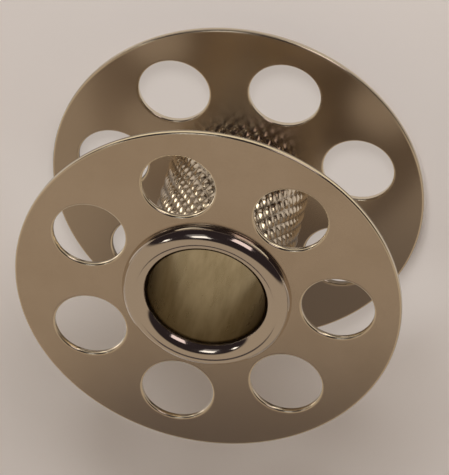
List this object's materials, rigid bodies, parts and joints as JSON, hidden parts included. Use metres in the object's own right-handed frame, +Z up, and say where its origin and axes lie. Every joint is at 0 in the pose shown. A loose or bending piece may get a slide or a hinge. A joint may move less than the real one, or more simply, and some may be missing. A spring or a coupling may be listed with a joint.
{
  "type": "sewing machine bobbin",
  "caption": "Metal sewing machine bobbin: a diamond-knurled hub tube with its ends rolled over two pierced round flanges.",
  "frame": {"origin": "on the bore's axis, at the foot of the lower bead, where the bobbin stands on its end", "axes": "+Z up along the bore, +X through a hole of the upper flange"},
  "size_m": [0.0203, 0.0202, 0.0111],
  "materials": {
    "hub_plating": "nickel plate, polished on the rolled beads and satin in the bore",
    "flange_plating": "satin nickel plate over pressed sheet steel"
  },
  "bodies": {
    "root": {"knurled_hub": "hub_plating", "upper_flange": "flange_plating", "lower_flange": "flange_plating"}
  },
  "joints": []
}
